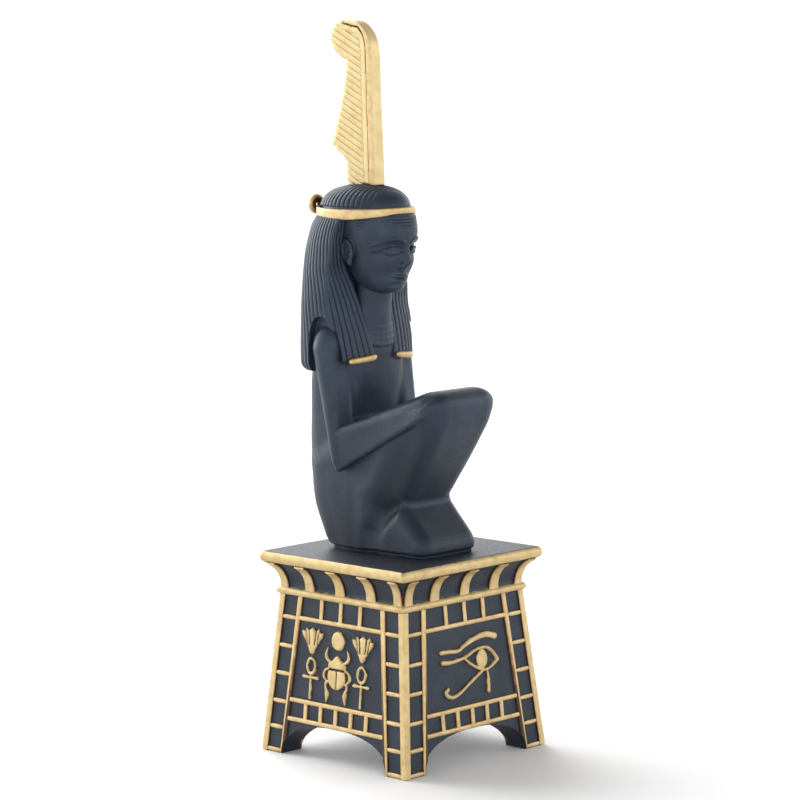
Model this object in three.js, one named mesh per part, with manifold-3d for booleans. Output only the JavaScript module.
// Table-top statue of the goddess Maat: a squatting woman in a long wig, cast in one piece,
// with a tall feather set in the crown of her head, on a battered pedestal that stands on four feet.
// Millimetres, +Z up. The origin is the centre of the pedestal's underside.
// She faces -Y, and her right side is -X.

import * as THREE from 'three';
import { ConvexGeometry } from 'three/addons/geometries/ConvexGeometry.js';
import { mergeVertices } from 'three/addons/utils/BufferGeometryUtils.js';
import Module from 'manifold-3d';

const wasm = await Module();
wasm.setup();

// Pedestal sizes; the block's half-widths are to the outer faces of its bars
const BASE_HALF = 35.4;
const BLOCK_TOP_HALF = 29.9;
const BLOCK_HEIGHT = 54.6;
const ROLL_Z = 57.1;
const ROLL_RADIUS = 1.3;
const ROLL_HALF = 30.9;
const CAVETTO_BOTTOM_Z = 58.3;
const CAVETTO_TOP_Z = 67.7;
const CAVETTO_FOOT_HALF = 29.0;
const CAVETTO_FLARE = 3.8;
const SLAB_HALF = 34.9;
const SLAB_TOP = 70.9;
const SLAB_CHAMFER = 1.0;
const ARCH_HALF_SPAN = 25.4;
const ARCH_RISE = 11.9;
const ARCH_SQUARENESS = 2.35;

// Raised frame of bars on each pedestal face
const BAR_HEIGHT = 0.8;
const BAR_ROOT = 0.6;
const FRAME_TOP = 54.2;
const CORNER_STILE = 2.6;
const INNER_STILE_FROM_EDGE = 8.9;
const INNER_STILE_TO_EDGE = 11.4;
const RUNG_CENTRES = [0.9, 9.1, 18.2, 28.0, 37.8, 47.9];
const RUNG_THICKNESS = 1.8;
const TOP_RAIL = [47.3, 49.0];
const LOWER_RAIL = [18.6, 20.3];
const LOWEST_RAIL = [12.1, 13.8];
const TOP_MULLIONS = 3;
const LOWER_MULLIONS = 5;
const MULLION_WIDTH = 2.0;
const RIB_RISE = 0.9;
const RIB_WIDTH = 4.6;
const RIB_PITCH = 14.5;
const CORNER_RIB_START = 26.0;

// Figure sizes
const JOINT_GAP = 0.3;
const FIGURE_BOTTOM = SLAB_TOP + JOINT_GAP;
const WIG_BACK_HEM_Z = 132.2;
const LAPPET_HEM_Z = 136.9;
const ARM_RADIUS = 5.3;
const CROWN_Z = 188.2;
const CROWN_RISE = 9.5;
const BAND_Z = 188.6;
const BAND_HEIGHT = 3.0;

// Feather sizes
const FEATHER_TOP = 254.5;
const FEATHER_FOOT = 195.0;
const VANE_HALF = 2.2;
const SHAFT_HALF = 3.3;
const TENON_BOTTOM = 191.5;

// Turns a closed three.js geometry into a solid that can be joined and cut
function solid(geometry) {
  const bare = geometry.clone();
  bare.deleteAttribute('normal');
  bare.deleteAttribute('uv');
  const merged = mergeVertices(bare, 1e-4);
  const mesh = new wasm.Mesh({
    numProp: 3,
    vertProperties: new Float32Array(merged.attributes.position.array),
    triVerts: new Uint32Array(merged.index.array),
  });
  return new wasm.Manifold(mesh);
}

// Turns a solid back into a three.js geometry
function toGeometry(body) {
  const mesh = body.getMesh();
  const geometry = new THREE.BufferGeometry();
  geometry.setAttribute('position', new THREE.BufferAttribute(new Float32Array(mesh.vertProperties), 3));
  geometry.setIndex(new THREE.BufferAttribute(new Uint32Array(mesh.triVerts), 1));
  geometry.computeVertexNormals();
  return geometry;
}

// Joins a list of solids
function join(parts) {
  return parts.reduce((whole, part) => whole.add(part));
}

// Closed skin through a stack of rings with the same number of points, capped at both ends
function loft(rings) {
  const count = rings[0].length;
  const positions = [];
  const index = [];
  rings.forEach((ring) => ring.forEach((p) => positions.push(p.x, p.y, p.z)));
  for (let r = 0; r < rings.length - 1; r += 1) {
    for (let i = 0; i < count; i += 1) {
      const a = r * count + i;
      const b = r * count + ((i + 1) % count);
      index.push(a, b, b + count, a, b + count, a + count);
    }
  }
  const addCap = (ring, offset, flip) => {
    const centre = ring.reduce((sum, p) => sum.add(p), new THREE.Vector3()).divideScalar(count);
    const hub = positions.length / 3;
    positions.push(centre.x, centre.y, centre.z);
    for (let i = 0; i < count; i += 1) {
      const a = offset + i;
      const b = offset + ((i + 1) % count);
      index.push(hub, flip ? b : a, flip ? a : b);
    }
  };
  addCap(rings[0], 0, true);
  addCap(rings[rings.length - 1], (rings.length - 1) * count, false);
  const geometry = new THREE.BufferGeometry();
  geometry.setAttribute('position', new THREE.Float32BufferAttribute(positions, 3));
  geometry.setIndex(index);
  return solid(geometry);
}

// Level ring with squared-off sides: front and back are its y limits, half its half-width
function ring({ z, front, back, half, square = 2 }, count = 32) {
  const centre = (front + back) / 2;
  const depth = (back - front) / 2;
  const points = [];
  for (let i = 0; i < count; i += 1) {
    const angle = ((i + 0.5) / count) * 2 * Math.PI;
    const c = Math.cos(angle);
    const s = Math.sin(angle);
    const x = half * Math.sign(c) * Math.abs(c) ** (2 / square);
    const y = centre + depth * Math.sign(s) * Math.abs(s) ** (2 / square);
    points.push(new THREE.Vector3(x, y, z));
  }
  return points;
}

function column(rows, count) {
  return loft(rows.map((row) => ring(row, count)));
}

// Points on a ball, for hulls
function ball([x, y, z], radius, rings = 4, segments = 8) {
  const points = [new THREE.Vector3(x, y, z - radius), new THREE.Vector3(x, y, z + radius)];
  for (let r = 1; r < rings; r += 1) {
    const polar = (r / rings) * Math.PI;
    for (let i = 0; i < segments; i += 1) {
      const angle = (i / segments) * 2 * Math.PI;
      const level = radius * Math.sin(polar);
      points.push(new THREE.Vector3(x + level * Math.cos(angle), y + level * Math.sin(angle), z - radius * Math.cos(polar)));
    }
  }
  return points;
}

function hull(points) {
  return solid(new ConvexGeometry(points));
}

// The same solid on her right and on her left; make(side) gets -1 or 1
function bothSides(make) {
  return join([make(-1), make(1)]);
}

function box(low, high) {
  const size = high.map((value, axis) => value - low[axis]);
  const geometry = new THREE.BoxGeometry(...size);
  geometry.translate(...low.map((value, axis) => value + size[axis] / 2));
  return solid(geometry);
}

// Prism with a (y, z) outline between two x planes
function sidePrism(shape, fromX, toX, curveSegments = 6) {
  const geometry = new THREE.ExtrudeGeometry(shape, { depth: toX - fromX, bevelEnabled: false, curveSegments });
  geometry.applyMatrix4(new THREE.Matrix4().makeBasis(
    new THREE.Vector3(0, 1, 0),
    new THREE.Vector3(0, 0, 1),
    new THREE.Vector3(1, 0, 0),
  ));
  geometry.translate(fromX, 0, 0);
  return solid(geometry);
}

// Prism with an (x, z) outline between two y planes
function frontPrism(shape, fromY, toY, curveSegments = 6) {
  const geometry = new THREE.ExtrudeGeometry(shape, { depth: toY - fromY, bevelEnabled: false, curveSegments });
  geometry.applyMatrix4(new THREE.Matrix4().makeBasis(
    new THREE.Vector3(1, 0, 0),
    new THREE.Vector3(0, 0, 1),
    new THREE.Vector3(0, -1, 0),
  ));
  geometry.translate(0, toY, 0);
  return solid(geometry);
}

function outline(points) {
  return new THREE.Shape(points.map(([a, b]) => new THREE.Vector2(a, b)));
}

// Convex (y, z) outline drawn in by a distance
function drawnIn(points, distance) {
  const count = points.length;
  const edges = points.map(([y, z], i) => {
    const [y2, z2] = points[(i + 1) % count];
    const along = new THREE.Vector2(y2 - y, z2 - z).normalize();
    const inward = new THREE.Vector2(-along.y, along.x);
    const start = new THREE.Vector2(y, z).addScaledVector(inward, distance);
    return { start, along };
  });
  return edges.map((edge, i) => {
    const before = edges[(i + count - 1) % count];
    const gap = edge.start.clone().sub(before.start);
    const reach = gap.cross(edge.along) / before.along.cross(edge.along);
    return before.start.clone().addScaledVector(before.along, reach);
  });
}

// Block with a convex (y, z) outline, rounded everywhere, its half-width given by halfAt(y, z)
function roundedBlock(points, radius, halfAt) {
  const balls = drawnIn(points, radius).flatMap(({ x: y, y: z }) => {
    const side = halfAt(y, z) - radius;
    return [...ball([-side, y, z], radius), ...ball([side, y, z], radius)];
  });
  return hull(balls);
}

// Half-width of the pedestal block at a height
function blockHalf(z) {
  return BASE_HALF + (BLOCK_TOP_HALF - BASE_HALF) * (z / BLOCK_HEIGHT);
}

// Four-cornered level ring of the pedestal
function squareRing(half, z) {
  return [[1, -1], [1, 1], [-1, 1], [-1, -1]].map(([sx, sy]) => new THREE.Vector3(sx * half, sy * half, z));
}

// Hollow curve of the cornice, from its foot (0) to the slab (1), as half-width and height
function cavetto(share, rise = 0) {
  const angle = (share * Math.PI) / 2;
  const half = CAVETTO_FOOT_HALF + rise + CAVETTO_FLARE * (1 - Math.cos(angle));
  const z = CAVETTO_BOTTOM_Z + (CAVETTO_TOP_Z - CAVETTO_BOTTOM_Z) * Math.sin(angle);
  return [half, z];
}

const CAVETTO_STEPS = 6;

// The pedestal's block, roll, cornice and slab as one stack of square rings
function pedestalCore() {
  const levels = [[BASE_HALF - BAR_HEIGHT, 0], [BLOCK_TOP_HALF - BAR_HEIGHT, BLOCK_HEIGHT]];
  const rollSteps = 6;
  for (let i = 0; i <= rollSteps; i += 1) {
    const angle = -Math.PI / 2 + (i / rollSteps) * Math.PI;
    const half = ROLL_HALF - ROLL_RADIUS + ROLL_RADIUS * Math.cos(angle);
    levels.push([half, ROLL_Z + ROLL_RADIUS * Math.sin(angle)]);
  }
  for (let i = 0; i <= CAVETTO_STEPS; i += 1) levels.push(cavetto(i / CAVETTO_STEPS, RIB_RISE));
  levels.push([SLAB_HALF - SLAB_CHAMFER, CAVETTO_TOP_Z + 0.05]);
  levels.push([SLAB_HALF, CAVETTO_TOP_Z + SLAB_CHAMFER]);
  levels.push([SLAB_HALF, SLAB_TOP - SLAB_CHAMFER]);
  levels.push([SLAB_HALF - SLAB_CHAMFER, SLAB_TOP]);
  const stack = levels.filter(([, z], i) => i === 0 || z > levels[i - 1][1] + 1e-3);
  return loft(stack.map(([half, z]) => squareRing(half, z)));
}

// The four sunk panels of one cornice side, on the -Y face
function cornicePanels() {
  const beyond = SLAB_HALF + 2;
  const profile = [];
  for (let i = 0; i <= CAVETTO_STEPS; i += 1) {
    const [half, z] = cavetto(i / CAVETTO_STEPS);
    profile.push([-half, z]);
  }
  profile.push([-beyond, CAVETTO_TOP_Z]);
  profile.push([-beyond, CAVETTO_BOTTOM_Z]);
  const ribEdge = RIB_WIDTH / 2;
  const inner = [ribEdge, RIB_PITCH - ribEdge];
  const outer = [RIB_PITCH + ribEdge, CORNER_RIB_START];
  const panels = [inner, outer].flatMap(([from, to]) => [[from, to], [-to, -from]]);
  return join(panels.map(([from, to]) => sidePrism(outline(profile), from, to)));
}

// The frame of bars on the -Y face: stiles, rails, rungs and mullions with open panels between
function faceFrame() {
  const lean = Math.atan2(BASE_HALF - BLOCK_TOP_HALF, BLOCK_HEIGHT);
  const edge = (z, inset) => blockHalf(z) - inset;
  const plate = (corners, low, high) => {
    const shape = outline(corners.map(([u, z]) => [u, z / Math.cos(lean)]));
    const geometry = new THREE.ExtrudeGeometry(shape, { depth: high - low, bevelEnabled: false });
    geometry.translate(0, 0, low);
    geometry.applyMatrix4(new THREE.Matrix4().makeBasis(
      new THREE.Vector3(1, 0, 0),
      new THREE.Vector3(0, Math.sin(lean), Math.cos(lean)),
      new THREE.Vector3(0, -Math.cos(lean), Math.sin(lean)),
    ));
    geometry.translate(0, -BASE_HALF, 0);
    return solid(geometry);
  };
  const panels = [];
  const panel = (corners) => panels.push(plate(corners, -BAR_HEIGHT - BAR_ROOT - 1, 1));

  // Square panels of the two outer ladders
  const half = RUNG_THICKNESS / 2;
  RUNG_CENTRES.forEach((rung, i) => {
    const low = rung + half;
    const high = i + 1 < RUNG_CENTRES.length ? RUNG_CENTRES[i + 1] - half : FRAME_TOP;
    [-1, 1].forEach((side) => {
      panel([
        [side * edge(low, INNER_STILE_FROM_EDGE), low],
        [side * edge(low, CORNER_STILE), low],
        [side * edge(high, CORNER_STILE), high],
        [side * edge(high, INNER_STILE_FROM_EDGE), high],
      ]);
    });
  });

  // Row of panels between two heights, parted by mullions
  const row = (low, high, mullions) => {
    const lowHalf = edge(low, INNER_STILE_TO_EDGE);
    const highHalf = edge(high, INNER_STILE_TO_EDGE);
    const cells = mullions + 1;
    for (let i = 0; i < cells; i += 1) {
      const leftTrim = i === 0 ? 0 : MULLION_WIDTH / 2;
      const rightTrim = i === cells - 1 ? 0 : MULLION_WIDTH / 2;
      const left = -1 + (2 * i) / cells;
      const right = -1 + (2 * (i + 1)) / cells;
      panel([
        [left * lowHalf + leftTrim, low],
        [right * lowHalf - rightTrim, low],
        [right * highHalf - rightTrim, high],
        [left * highHalf + leftTrim, high],
      ]);
    }
  };
  row(TOP_RAIL[1], FRAME_TOP, TOP_MULLIONS);
  row(LOWER_RAIL[1], TOP_RAIL[0], 0);
  row(LOWEST_RAIL[1], LOWER_RAIL[0], LOWER_MULLIONS);
  row(-2, LOWEST_RAIL[0], 0);

  const whole = plate([
    [-blockHalf(0), 0],
    [blockHalf(0), 0],
    [blockHalf(BLOCK_HEIGHT), BLOCK_HEIGHT],
    [-blockHalf(BLOCK_HEIGHT), BLOCK_HEIGHT],
  ], -BAR_HEIGHT - BAR_ROOT, 0);
  return whole.subtract(join(panels));
}

// Barrel vault cut along Y through the foot of the pedestal
function vault() {
  const steps = 20;
  const points = [];
  for (let i = 0; i <= steps; i += 1) {
    const angle = (i / steps) * Math.PI;
    const c = Math.cos(angle);
    const x = ARCH_HALF_SPAN * Math.sign(c) * Math.abs(c) ** (2 / ARCH_SQUARENESS);
    points.push([x, ARCH_RISE * Math.sin(angle) ** (2 / ARCH_SQUARENESS)]);
  }
  points.push([-ARCH_HALF_SPAN, -5]);
  points.push([ARCH_HALF_SPAN, -5]);
  return frontPrism(outline(points), -BASE_HALF - 5, BASE_HALF + 5);
}

function makePedestal() {
  const turns = [0, 90, 180, 270];
  const panels = join(turns.map((turn) => cornicePanels().rotate([0, 0, turn])));
  const frames = join(turns.map((turn) => faceFrame().rotate([0, 0, turn])));
  const below = box([-60, -60, -20], [60, 60, 0]);
  const cuts = join([panels, vault(), vault().rotate([0, 0, 90]), below]);
  return pedestalCore().add(frames).subtract(cuts);
}

// Back, waist and chest
function trunk() {
  return column([
    { z: 66, front: 8, back: 20.0, half: 10.0, square: 2.4 },
    { z: 71, front: 6, back: 23.8, half: 12.8, square: 2.4 },
    { z: 76, front: 5, back: 27.4, half: 15.2, square: 2.5 },
    { z: 82, front: 5, back: 30.8, half: 17.4, square: 2.5 },
    { z: 88, front: 6, back: 32.4, half: 18.2, square: 2.6 },
    { z: 98, front: 9, back: 32.9, half: 17.6, square: 2.9 },
    { z: 108, front: 10.2, back: 32.9, half: 15.8, square: 3.8 },
    { z: 122, front: 9.4, back: 32.7, half: 14.6, square: 4.8 },
    { z: 129, front: 7.8, back: 32.6, half: 14.6, square: 4.8 },
    { z: 135, front: 7.2, back: 32.4, half: 14.4, square: 3.6 },
    { z: 141, front: 8.1, back: 32.0, half: 14.2, square: 3.0 },
    { z: 147, front: 10.2, back: 30.6, half: 12.0, square: 2.6 },
    { z: 152, front: 12.6, back: 27.0, half: 8.0, square: 2.2 },
  ], 32);
}

// Folded legs under the tight dress: thighs, shins and feet, each one block across both legs
function legs() {
  const thighs = roundedBlock([
    [13, 113.0],
    [-27.0, 127.6],
    [-30.0, 121.0],
    [5, 64.0],
    [20, 66.0],
    [28.6, 80.0],
    [29.0, 101.0],
  ], 6.5, () => 17.0);
  const shinHalf = (z) => THREE.MathUtils.mapLinear(THREE.MathUtils.clamp(z, 88, 122), 88, 122, 13.6, 16.5);
  const shins = roundedBlock([
    [-27.6, 127.6],
    [-30.6, 127.2],
    [-32.3, 124.2],
    [-23.6, 106],
    [-12.6, 88],
    [-6, 86],
    [4, 88],
    [-14, 116],
  ], 3.0, (y, z) => shinHalf(z));
  const footHalf = (y) => THREE.MathUtils.mapLinear(THREE.MathUtils.clamp(y, -12, 2), -12, 2, 13.2, 14.4);
  const feet = roundedBlock([
    [-12.2, 88.8],
    [-25.2, 74.2],
    [-25.6, 66.0],
    [7.4, 66.0],
    [5.4, 79.0],
    [-3.0, 87.5],
  ], 1.8, footHalf);
  return join([thighs, shins, feet]);
}

// Shoulder, upper arm hanging to the elbow, and forearm rising to the knee with a sharp lower edge
function arm(side) {
  const shoulder = new THREE.SphereGeometry(1, 16, 10);
  shoulder.scale(6.0, 5.8, 8.0);
  shoulder.translate(side * 15.2, 17.6, 143.0);
  const upper = hull([
    ...ball([side * 16.2, 17.8, 141.5], ARM_RADIUS, 5, 12),
    ...ball([side * 17.4, 12.4, 110.5], 4.6, 5, 12),
    ...ball([side * 18.4, 12.0, 101.6], 2.0),
  ]);
  const forearm = hull([
    ...ball([side * 17.4, 12.0, 110.5], 4.6, 5, 12),
    ...ball([side * 18.4, 12.0, 101.6], 2.0),
    ...ball([side * 14.0, -25.6, 124.9], 3.1, 6, 12),
    ...ball([side * 14.8, -25.0, 121.6], 1.5),
  ]);
  return join([solid(shoulder), upper, forearm]);
}

// Head without the wig: a plain face on even thirds, with nose, lips, brow and ears
function head() {
  const skull = column([
    { z: 160.2, front: 3.0, back: 12, half: 3.4, square: 2.0 },
    { z: 161.4, front: -0.4, back: 14, half: 5.6, square: 2.1 },
    { z: 163.8, front: -2.0, back: 17, half: 7.4, square: 2.1 },
    { z: 167, front: -2.8, back: 19, half: 8.8, square: 2.1 },
    { z: 171, front: -3.5, back: 20, half: 10.1, square: 2.1 },
    { z: 175, front: -4.0, back: 22, half: 10.9, square: 2.1 },
    { z: 177.5, front: -5.1, back: 23, half: 11.2, square: 2.1 },
    { z: 182, front: -6.0, back: 25, half: 11.5, square: 2.1 },
    { z: 187, front: -5.6, back: 26, half: 11.6, square: 2.1 },
  ], 24);
  const nose = hull([
    ...ball([0, -4.4, 176.6], 0.9),
    ...ball([0, -5.6, 170.7], 1.1),
    ...ball([-1.4, -3.6, 170.2], 0.9),
    ...ball([1.4, -3.6, 170.2], 0.9),
    ...ball([0, 0, 174.0], 1.6),
  ]);
  const lips = hull([
    ...ball([0, -2.9, 166.6], 0.9),
    ...ball([-2.7, -1.6, 166.4], 0.5),
    ...ball([2.7, -1.6, 166.4], 0.5),
  ]);
  const ears = bothSides((side) => {
    const ear = new THREE.SphereGeometry(1, 10, 8);
    ear.scale(1.5, 2.4, 4.2);
    ear.translate(side * 11.4, 12.2, 173.6);
    return solid(ear);
  });
  const neck = hull([...ball([0, 14.5, 146], 6.8, 6, 16), ...ball([0, 10.4, 166], 6.0, 6, 16)]);
  return join([skull, nose, lips, ears, neck]);
}

// Long wig with a lappet in front of each shoulder, arched away over the arms
function wig() {
  const hair = column([
    { z: WIG_BACK_HEM_Z, front: -3, back: 34.9, half: 21.3, square: 3.0 },
    { z: 142, front: -3, back: 35.0, half: 21.4, square: 3.0 },
    { z: 157, front: -3, back: 34.9, half: 20.8, square: 3.0 },
    { z: 169, front: -3, back: 34.6, half: 19.6, square: 2.8 },
    { z: 174.5, front: -3, back: 34.4, half: 18.6, square: 2.7 },
    { z: 180, front: -3, back: 34.0, half: 17.2, square: 2.5 },
    { z: 184, front: -3, back: 33.6, half: 15.6, square: 2.3 },
    { z: 187, front: -3, back: 33.2, half: 14.0, square: 2.1 },
    { z: 190, front: -3, back: 32.8, half: 12.9, square: 2.0 },
  ], 36);

  // Everything in front of the lappets, which fall back and spread as they pass the shoulders
  const frontLevels = [
    [120, 5.4, 1], [129, 5.4, 1], [138, 6.0, 1], [146.5, 8.0, 1], [157, 11.2, 0.8],
    [166, 12.0, 0.3], [172, 12.0, 0], [195, 11.2, 0],
  ];
  const ahead = loft(frontLevels.map(([z, front, spread]) => {
    const level = [-24, -15, -9, -4.7, 4.7, 9, 15, 24].map((x) => {
      const fall = 0.022 * spread * Math.max(Math.abs(x) - 4.7, 0) ** 2;
      return new THREE.Vector3(x, front + fall, z);
    });
    return [new THREE.Vector3(-24, -15, z), new THREE.Vector3(24, -15, z), ...level.reverse()];
  }));

  // Opening between the lappets, widening up to the ears
  const opening = outline([
    [4.6, 120], [4.7, 138], [5.6, 146.5], [6.9, 157], [8.8, 163], [10.4, 168], [10.4, 181],
    [-10.4, 181], [-10.4, 168], [-8.8, 163], [-6.9, 157], [-5.6, 146.5], [-4.7, 138], [-4.6, 120],
  ]);
  const between = frontPrism(opening, -5, 14.8);

  // Arch over each shoulder, leaning back towards its top
  const archTop = 152.8;
  const archMid = 16.4;
  const archHalf = 7.4;
  const steps = 12;
  const arch = [[archMid - archHalf, 125], [archMid + archHalf, 125]];
  for (let i = 0; i <= steps; i += 1) {
    const angle = (i / steps) * Math.PI;
    const rise = (archTop - LAPPET_HEM_Z) * Math.sin(angle);
    arch.push([archMid + archHalf * Math.cos(angle) + 0.17 * rise, LAPPET_HEM_Z + rise]);
  }
  const shoulders = bothSides((side) => sidePrism(outline(arch), Math.min(side * 12, side * 30), Math.max(side * 12, side * 30)));
  const hem = box([-30, -5, 120], [30, archMid + archHalf, LAPPET_HEM_Z]);
  const cuts = join([ahead, between, shoulders, hem]);

  // Gold trim along the back hem
  const trimRow = (rise, grow) => (
    { z: WIG_BACK_HEM_Z + rise, front: -3, back: 34.9 + grow, half: 21.3 + grow, square: 3.0 }
  );
  const trim = column([trimRow(0, 0), trimRow(0.4, 0.4), trimRow(1.8, 0.4), trimRow(2.2, 0)], 36);
  return hair.add(trim).subtract(cuts);
}

// Domed crown of the wig, the fringe over the forehead, and the head band with its bow
function crown() {
  const middleY = 14.9;
  const levels = 7;
  const dome = [];
  for (let i = 0; i < levels; i += 1) {
    const share = Math.sin(((i / (levels - 1)) * Math.PI) / 2) * 0.995;
    const scale = (1 - share ** 2.4) ** (1 / 2.4);
    const depth = 18.3 * scale;
    dome.push({ z: CROWN_Z + CROWN_RISE * share, front: middleY - depth, back: middleY + depth, half: 13.2 * scale });
  }
  dome.unshift({ ...dome[0], z: 186.0 });
  const fringe = column([
    { z: 183.0, front: -6.2, back: 30, half: 11.9 },
    { z: 185.0, front: -6.6, back: 31, half: 12.3 },
    { z: 188.6, front: -5.6, back: 31, half: 12.3 },
  ], 32);
  const bandRow = (z, grow) => ({ z, front: -4.4 - grow, back: 34.0 + grow, half: 13.9 + grow });
  const band = column([
    bandRow(BAND_Z - BAND_HEIGHT / 2, 0.1),
    bandRow(BAND_Z - BAND_HEIGHT / 2 + 0.5, 0.7),
    bandRow(BAND_Z + BAND_HEIGHT / 2 - 0.5, 0.7),
    bandRow(BAND_Z + BAND_HEIGHT / 2, 0.1),
  ], 36);
  const loops = bothSides((side) => {
    const loop = new THREE.TorusGeometry(2.45, 0.85, 8, 14);
    loop.rotateX(Math.PI / 2);
    loop.translate(side * 4.6, 35.2, 190.2);
    return solid(loop);
  });
  const knot = hull([...ball([-1.0, 34.8, 190.2], 1.6), ...ball([1.0, 34.8, 190.2], 1.6)]);
  return join([column(dome, 32), fringe, band, loops, knot]);
}

// Gold bar across the foot of each lappet, and the broad collar between them
function trimmings() {
  const bars = bothSides((side) => join([
    hull([...ball([side * 5.6, 5.7, 138.0], 1.2), ...ball([side * 11.0, 6.3, 137.6], 1.2)]),
    hull([...ball([side * 11.0, 6.3, 137.6], 1.2), ...ball([side * 15.6, 8.3, 137.1], 1.2)]),
  ]));
  const collar = column([
    { z: 141.2, front: 7.2, back: 22, half: 11.5, square: 2.6 },
    { z: 146.0, front: 8.8, back: 22, half: 11.0, square: 2.4 },
    { z: 151.5, front: 8.6, back: 22, half: 8.6, square: 2.2 },
    { z: 154.0, front: 7.6, back: 20, half: 7.0, square: 2.1 },
  ], 24);
  return bars.add(collar);
}

// Outline of the feather seen from her right, as (y, z)
function featherOutline(foot) {
  const shape = new THREE.Shape();
  shape.moveTo(8.9, foot);
  shape.lineTo(21.4, foot);
  shape.lineTo(21.7, 205.6);
  shape.quadraticCurveTo(23.0, 208.0, 28.6, 211.2);
  shape.bezierCurveTo(27.6, 214.0, 23.2, 226.0, 22.1, 231.5);
  shape.quadraticCurveTo(21.2, 236.5, 20.9, 240.2);
  shape.bezierCurveTo(22.7, 241.0, 28.2, 241.4, 28.2, 248.0);
  shape.bezierCurveTo(28.2, 252.6, 23.6, FEATHER_TOP, 19.3, FEATHER_TOP);
  shape.bezierCurveTo(14.6, FEATHER_TOP, 11.0, 250.6, 10.6, 245.0);
  shape.lineTo(10.2, 228.0);
  shape.lineTo(8.9, foot);
  return shape;
}

// Thicker shaft along the feather's front edge, curling over its tip
function shaftOutline(foot) {
  const shape = new THREE.Shape();
  shape.moveTo(8.9, foot);
  shape.lineTo(11.4, foot);
  shape.lineTo(12.3, 228.0);
  shape.lineTo(12.5, 244.6);
  shape.bezierCurveTo(12.8, 250.2, 15.0, FEATHER_TOP - 1.4, 19.3, FEATHER_TOP - 1.2);
  shape.quadraticCurveTo(21.4, FEATHER_TOP - 1.0, 22.6, FEATHER_TOP - 0.6);
  shape.quadraticCurveTo(20.8, FEATHER_TOP, 19.3, FEATHER_TOP);
  shape.bezierCurveTo(14.6, FEATHER_TOP, 11.0, 250.6, 10.6, 245.0);
  shape.lineTo(10.2, 228.0);
  shape.lineTo(8.9, foot);
  return shape;
}

function tenon(gap) {
  return box([-1.7 - gap, 10.6 - gap, TENON_BOTTOM - gap], [1.7 + gap, 18.4 + gap, FEATHER_FOOT + 6]);
}

function makeFeather() {
  const vane = sidePrism(featherOutline(FEATHER_FOOT), -VANE_HALF, VANE_HALF);
  const shaft = sidePrism(shaftOutline(FEATHER_FOOT), -SHAFT_HALF, SHAFT_HALF);
  return join([vane, shaft, tenon(0)]);
}

// Room that the feather takes in the crown, a little larger all round
function featherSocket() {
  const low = [-SHAFT_HALF - JOINT_GAP, 8.9 - JOINT_GAP, FEATHER_FOOT - JOINT_GAP];
  const high = [SHAFT_HALF + JOINT_GAP, 21.5 + JOINT_GAP, 210];
  return box(low, high).add(tenon(JOINT_GAP));
}

function makeFigure() {
  const cast = join([trunk(), legs(), bothSides(arm), head(), wig(), crown(), trimmings()]);
  const below = box([-60, -60, 40], [60, 60, FIGURE_BOTTOM]);
  return cast.subtract(below).subtract(featherSocket());
}

// Named pieces
function piece(name, body, { colour, roughness, metalness }) {
  const material = new THREE.MeshStandardMaterial({ color: colour, roughness, metalness });
  const mesh = new THREE.Mesh(toGeometry(body), material);
  mesh.name = name;
  return mesh;
}

const BLACK_PAINT = { colour: 0x24282e, roughness: 0.55, metalness: 0.0 };
const GOLD_PAINT = { colour: 0xd9b25f, roughness: 0.42, metalness: 0.35 };

const statue = new THREE.Group();
statue.add(piece('pedestal', makePedestal(), BLACK_PAINT));
statue.add(piece('figure', makeFigure(), BLACK_PAINT));
statue.add(piece('feather', makeFeather(), GOLD_PAINT));

export default statue;
